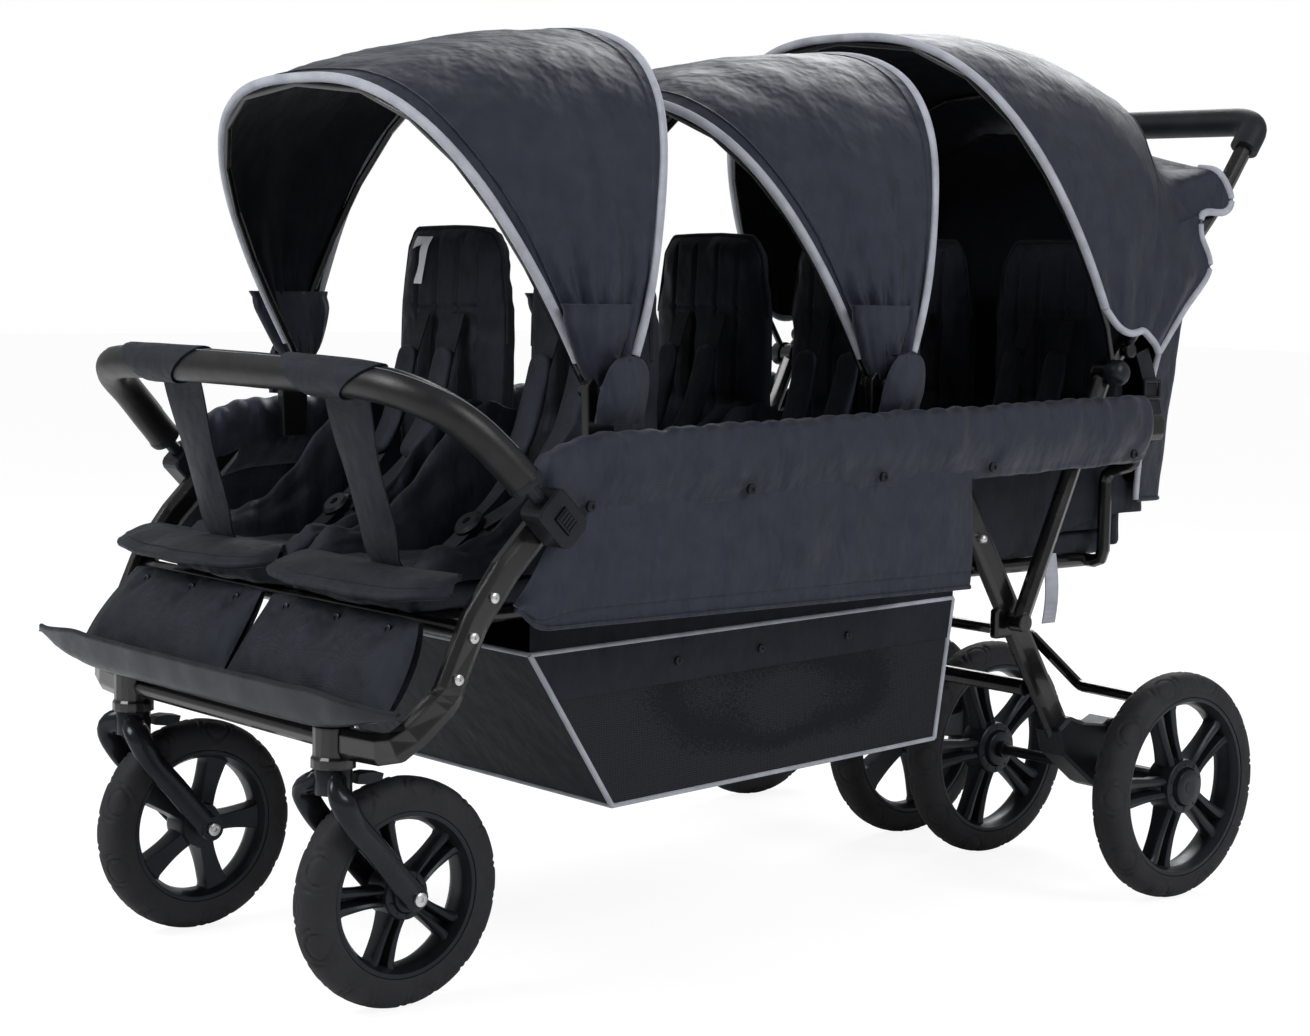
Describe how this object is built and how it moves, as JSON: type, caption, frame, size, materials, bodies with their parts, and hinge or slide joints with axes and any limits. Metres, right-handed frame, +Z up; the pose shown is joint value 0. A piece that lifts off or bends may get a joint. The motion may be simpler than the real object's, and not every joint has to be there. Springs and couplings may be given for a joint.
{
  "type": "six-seat stroller",
  "caption": "Wide group stroller: three rows of paired seats on a tubular frame, sun canopies and rear hood, basket below, swivelling front wheels, twin rear axle, folding legs and handle.",
  "frame": {"origin": "on the floor, in the middle of the bounding box", "axes": "+Z up, the front faces -Y, the left side is +X"},
  "size_m": [0.86, 1.5286, 1.1117],
  "materials": {
    "black_tube": "gloss",
    "black_plastic": "satin",
    "tyre_rubber": "matte",
    "anthracite_cloth": "woven",
    "black_cloth": "woven",
    "basket_mesh": "mesh",
    "stitched_cover": "satin"
  },
  "bodies": {
    "frame": {"front_beam": "black_tube", "side_frame_left": "black_tube", "side_frame_right": "black_tube", "side_cover_left": "anthracite_cloth", "side_cover_right": "anthracite_cloth", "seat_frame": "black_tube", "seat_surround": "black_cloth", "seat_row_1": "black_cloth", "seat_row_2": "black_cloth", "seat_row_3": "black_cloth", "basket": "basket_mesh", "basket_rear": "basket_mesh", "foot_tray": "black_plastic", "calf_panel_left": "anthracite_cloth", "calf_panel_right": "anthracite_cloth", "bumper_clamp_left": "black_plastic", "bumper_clamp_right": "black_plastic", "canopy_1_rear_bow": "black_tube", "canopy_2_rear_bow": "black_tube", "canopy_1_cover": "anthracite_cloth", "canopy_2_cover": "anthracite_cloth"},
    "rear_legs": {"rear_leg_left": "black_tube", "rear_leg_right": "black_tube", "leg_cross_tube": "black_tube", "rear_bracket_left": "black_plastic", "rear_bracket_right": "black_plastic"},
    "brake": {"brake_bar": "black_tube"},
    "handle": {"handle_frame": "black_tube", "handle_grip": "stitched_cover", "hood_cover": "anthracite_cloth", "rear_panel": "anthracite_cloth", "hood_back_bow": "black_tube"},
    "hood_front": {"hood_front_bow": "black_tube"},
    "canopy_1_front": {"canopy_1_front_bow": "black_tube"},
    "canopy_2_front": {"canopy_2_front_bow": "black_tube"},
    "bumper": {"bumper_bar": "stitched_cover"},
    "backrest_1_left": {"backrest_1_left": "black_cloth"},
    "backrest_1_right": {"backrest_1_right": "black_cloth"},
    "backrest_2_left": {"backrest_2_left": "black_cloth"},
    "backrest_2_right": {"backrest_2_right": "black_cloth"},
    "backrest_3_left": {"backrest_3_left": "black_cloth"},
    "backrest_3_right": {"backrest_3_right": "black_cloth"},
    "clamp_button_left": {"clamp_button_left": "black_plastic"},
    "clamp_button_right": {"clamp_button_right": "black_plastic"},
    "castor_left": {"castor_fork_left": "black_plastic"},
    "swivel_lock_left": {"swivel_lock_left": "black_plastic"},
    "front_wheel_left": {"rim_front_left": "black_plastic", "tyre_front_left": "tyre_rubber"},
    "castor_right": {"castor_fork_right": "black_plastic"},
    "swivel_lock_right": {"swivel_lock_right": "black_plastic"},
    "front_wheel_right": {"rim_front_right": "black_plastic", "tyre_front_right": "tyre_rubber"},
    "rear_outer_wheel_left": {"rim_rear_outer_left": "black_plastic", "tyre_rear_outer_left": "tyre_rubber"},
    "rear_inner_wheel_left": {"rim_rear_inner_left": "black_plastic", "tyre_rear_inner_left": "tyre_rubber"},
    "rear_outer_wheel_right": {"rim_rear_outer_right": "black_plastic", "tyre_rear_outer_right": "tyre_rubber"},
    "rear_inner_wheel_right": {"rim_rear_inner_right": "black_plastic", "tyre_rear_inner_right": "tyre_rubber"}
  },
  "joints": [
    {"name": "fold_legs", "type": "hinge", "parent": "frame", "child": "rear_legs", "pos_m": [0, 0.155, 0.597], "axis": [-1, 0, 0], "range_deg": [0, 46], "deforming": ["basket_rear"]},
    {"name": "fold_handle", "type": "hinge", "parent": "rear_legs", "child": "handle", "pos_m": [0, 0.29, 0.362], "axis": [1, 0, 0], "range_deg": [0, 24], "deforming": ["rear_panel"]},
    {"name": "hood_fold", "type": "hinge", "parent": "handle", "child": "hood_front", "pos_m": [0, 0.44, 0.68], "axis": [-1, 0, 0], "range_deg": [0, 36], "deforming": ["hood_cover"]},
    {"name": "canopy_1_fold", "type": "hinge", "parent": "frame", "child": "canopy_1_front", "pos_m": [0, -0.42, 0.672], "axis": [-1, 0, 0], "range_deg": [0, 50], "deforming": ["canopy_1_cover"]},
    {"name": "canopy_2_fold", "type": "hinge", "parent": "frame", "child": "canopy_2_front", "pos_m": [0, 0.015, 0.672], "axis": [-1, 0, 0], "range_deg": [0, 50], "deforming": ["canopy_2_cover"]},
    {"name": "recline_1_left", "type": "hinge", "parent": "frame", "child": "backrest_1_left", "pos_m": [0.134, -0.2787, 0.436], "axis": [-1, 0, 0], "range_deg": [0, 25]},
    {"name": "recline_1_right", "type": "hinge", "parent": "frame", "child": "backrest_1_right", "pos_m": [-0.134, -0.2787, 0.436], "axis": [-1, 0, 0], "range_deg": [0, 25]},
    {"name": "recline_2_left", "type": "hinge", "parent": "frame", "child": "backrest_2_left", "pos_m": [0.134, 0.1513, 0.436], "axis": [-1, 0, 0], "range_deg": [0, 25]},
    {"name": "recline_2_right", "type": "hinge", "parent": "frame", "child": "backrest_2_right", "pos_m": [-0.134, 0.1513, 0.436], "axis": [-1, 0, 0], "range_deg": [0, 25]},
    {"name": "recline_3_left", "type": "hinge", "parent": "frame", "child": "backrest_3_left", "pos_m": [0.134, 0.5463, 0.436], "axis": [-1, 0, 0], "range_deg": [0, 15]},
    {"name": "recline_3_right", "type": "hinge", "parent": "frame", "child": "backrest_3_right", "pos_m": [-0.134, 0.5463, 0.436], "axis": [-1, 0, 0], "range_deg": [0, 15]},
    {"name": "bumper_slide", "type": "slide", "parent": "frame", "child": "bumper", "axis": [0, -0.7071, 0.7071], "range_m": [0, 0.04]},
    {"name": "button_left", "type": "slide", "parent": "frame", "child": "clamp_button_left", "axis": [-1, 0, 0], "range_m": [0, 0.003], "stiffness_N_per_m": 600},
    {"name": "button_right", "type": "slide", "parent": "frame", "child": "clamp_button_right", "axis": [1, 0, 0], "range_m": [0, 0.003], "stiffness_N_per_m": 600},
    {"name": "brake_press", "type": "hinge", "parent": "rear_legs", "child": "brake", "pos_m": [0, 0.49, 0.205], "axis": [-1, 0, 0], "range_deg": [0, 20]},
    {"name": "castor_swivel_left", "type": "hinge", "parent": "frame", "child": "castor_left", "pos_m": [0.212, -0.6985, 0.255], "axis": [0, 0, 1], "continuous": true},
    {"name": "swivel_lock_left", "type": "hinge", "parent": "castor_left", "child": "swivel_lock_left", "pos_m": [0.212, -0.6663, 0.258], "axis": [1, 0, 0], "range_deg": [0, 25]},
    {"name": "front_wheel_left", "type": "hinge", "parent": "castor_left", "child": "front_wheel_left", "pos_m": [0.212, -0.6155, 0.127], "axis": [1, 0, 0], "continuous": true},
    {"name": "castor_swivel_right", "type": "hinge", "parent": "frame", "child": "castor_right", "pos_m": [-0.212, -0.6985, 0.255], "axis": [0, 0, 1], "continuous": true},
    {"name": "swivel_lock_right", "type": "hinge", "parent": "castor_right", "child": "swivel_lock_right", "pos_m": [-0.212, -0.6663, 0.258], "axis": [1, 0, 0], "range_deg": [0, 25]},
    {"name": "front_wheel_right", "type": "hinge", "parent": "castor_right", "child": "front_wheel_right", "pos_m": [-0.212, -0.6155, 0.127], "axis": [1, 0, 0], "continuous": true},
    {"name": "rear_outer_wheel_left", "type": "hinge", "parent": "rear_legs", "child": "rear_outer_wheel_left", "pos_m": [0.402, 0.48, 0.1476], "axis": [1, 0, 0], "continuous": true},
    {"name": "rear_inner_wheel_left", "type": "hinge", "parent": "rear_legs", "child": "rear_inner_wheel_left", "pos_m": [0.0765, 0.48, 0.1476], "axis": [1, 0, 0], "continuous": true},
    {"name": "rear_outer_wheel_right", "type": "hinge", "parent": "rear_legs", "child": "rear_outer_wheel_right", "pos_m": [-0.402, 0.48, 0.1476], "axis": [1, 0, 0], "continuous": true},
    {"name": "rear_inner_wheel_right", "type": "hinge", "parent": "rear_legs", "child": "rear_inner_wheel_right", "pos_m": [-0.0765, 0.48, 0.1476], "axis": [1, 0, 0], "continuous": true}
  ],
  "couplings": [
    {"joint": "fold_handle", "follows": "fold_legs", "ratio": 0.513}
  ]
}
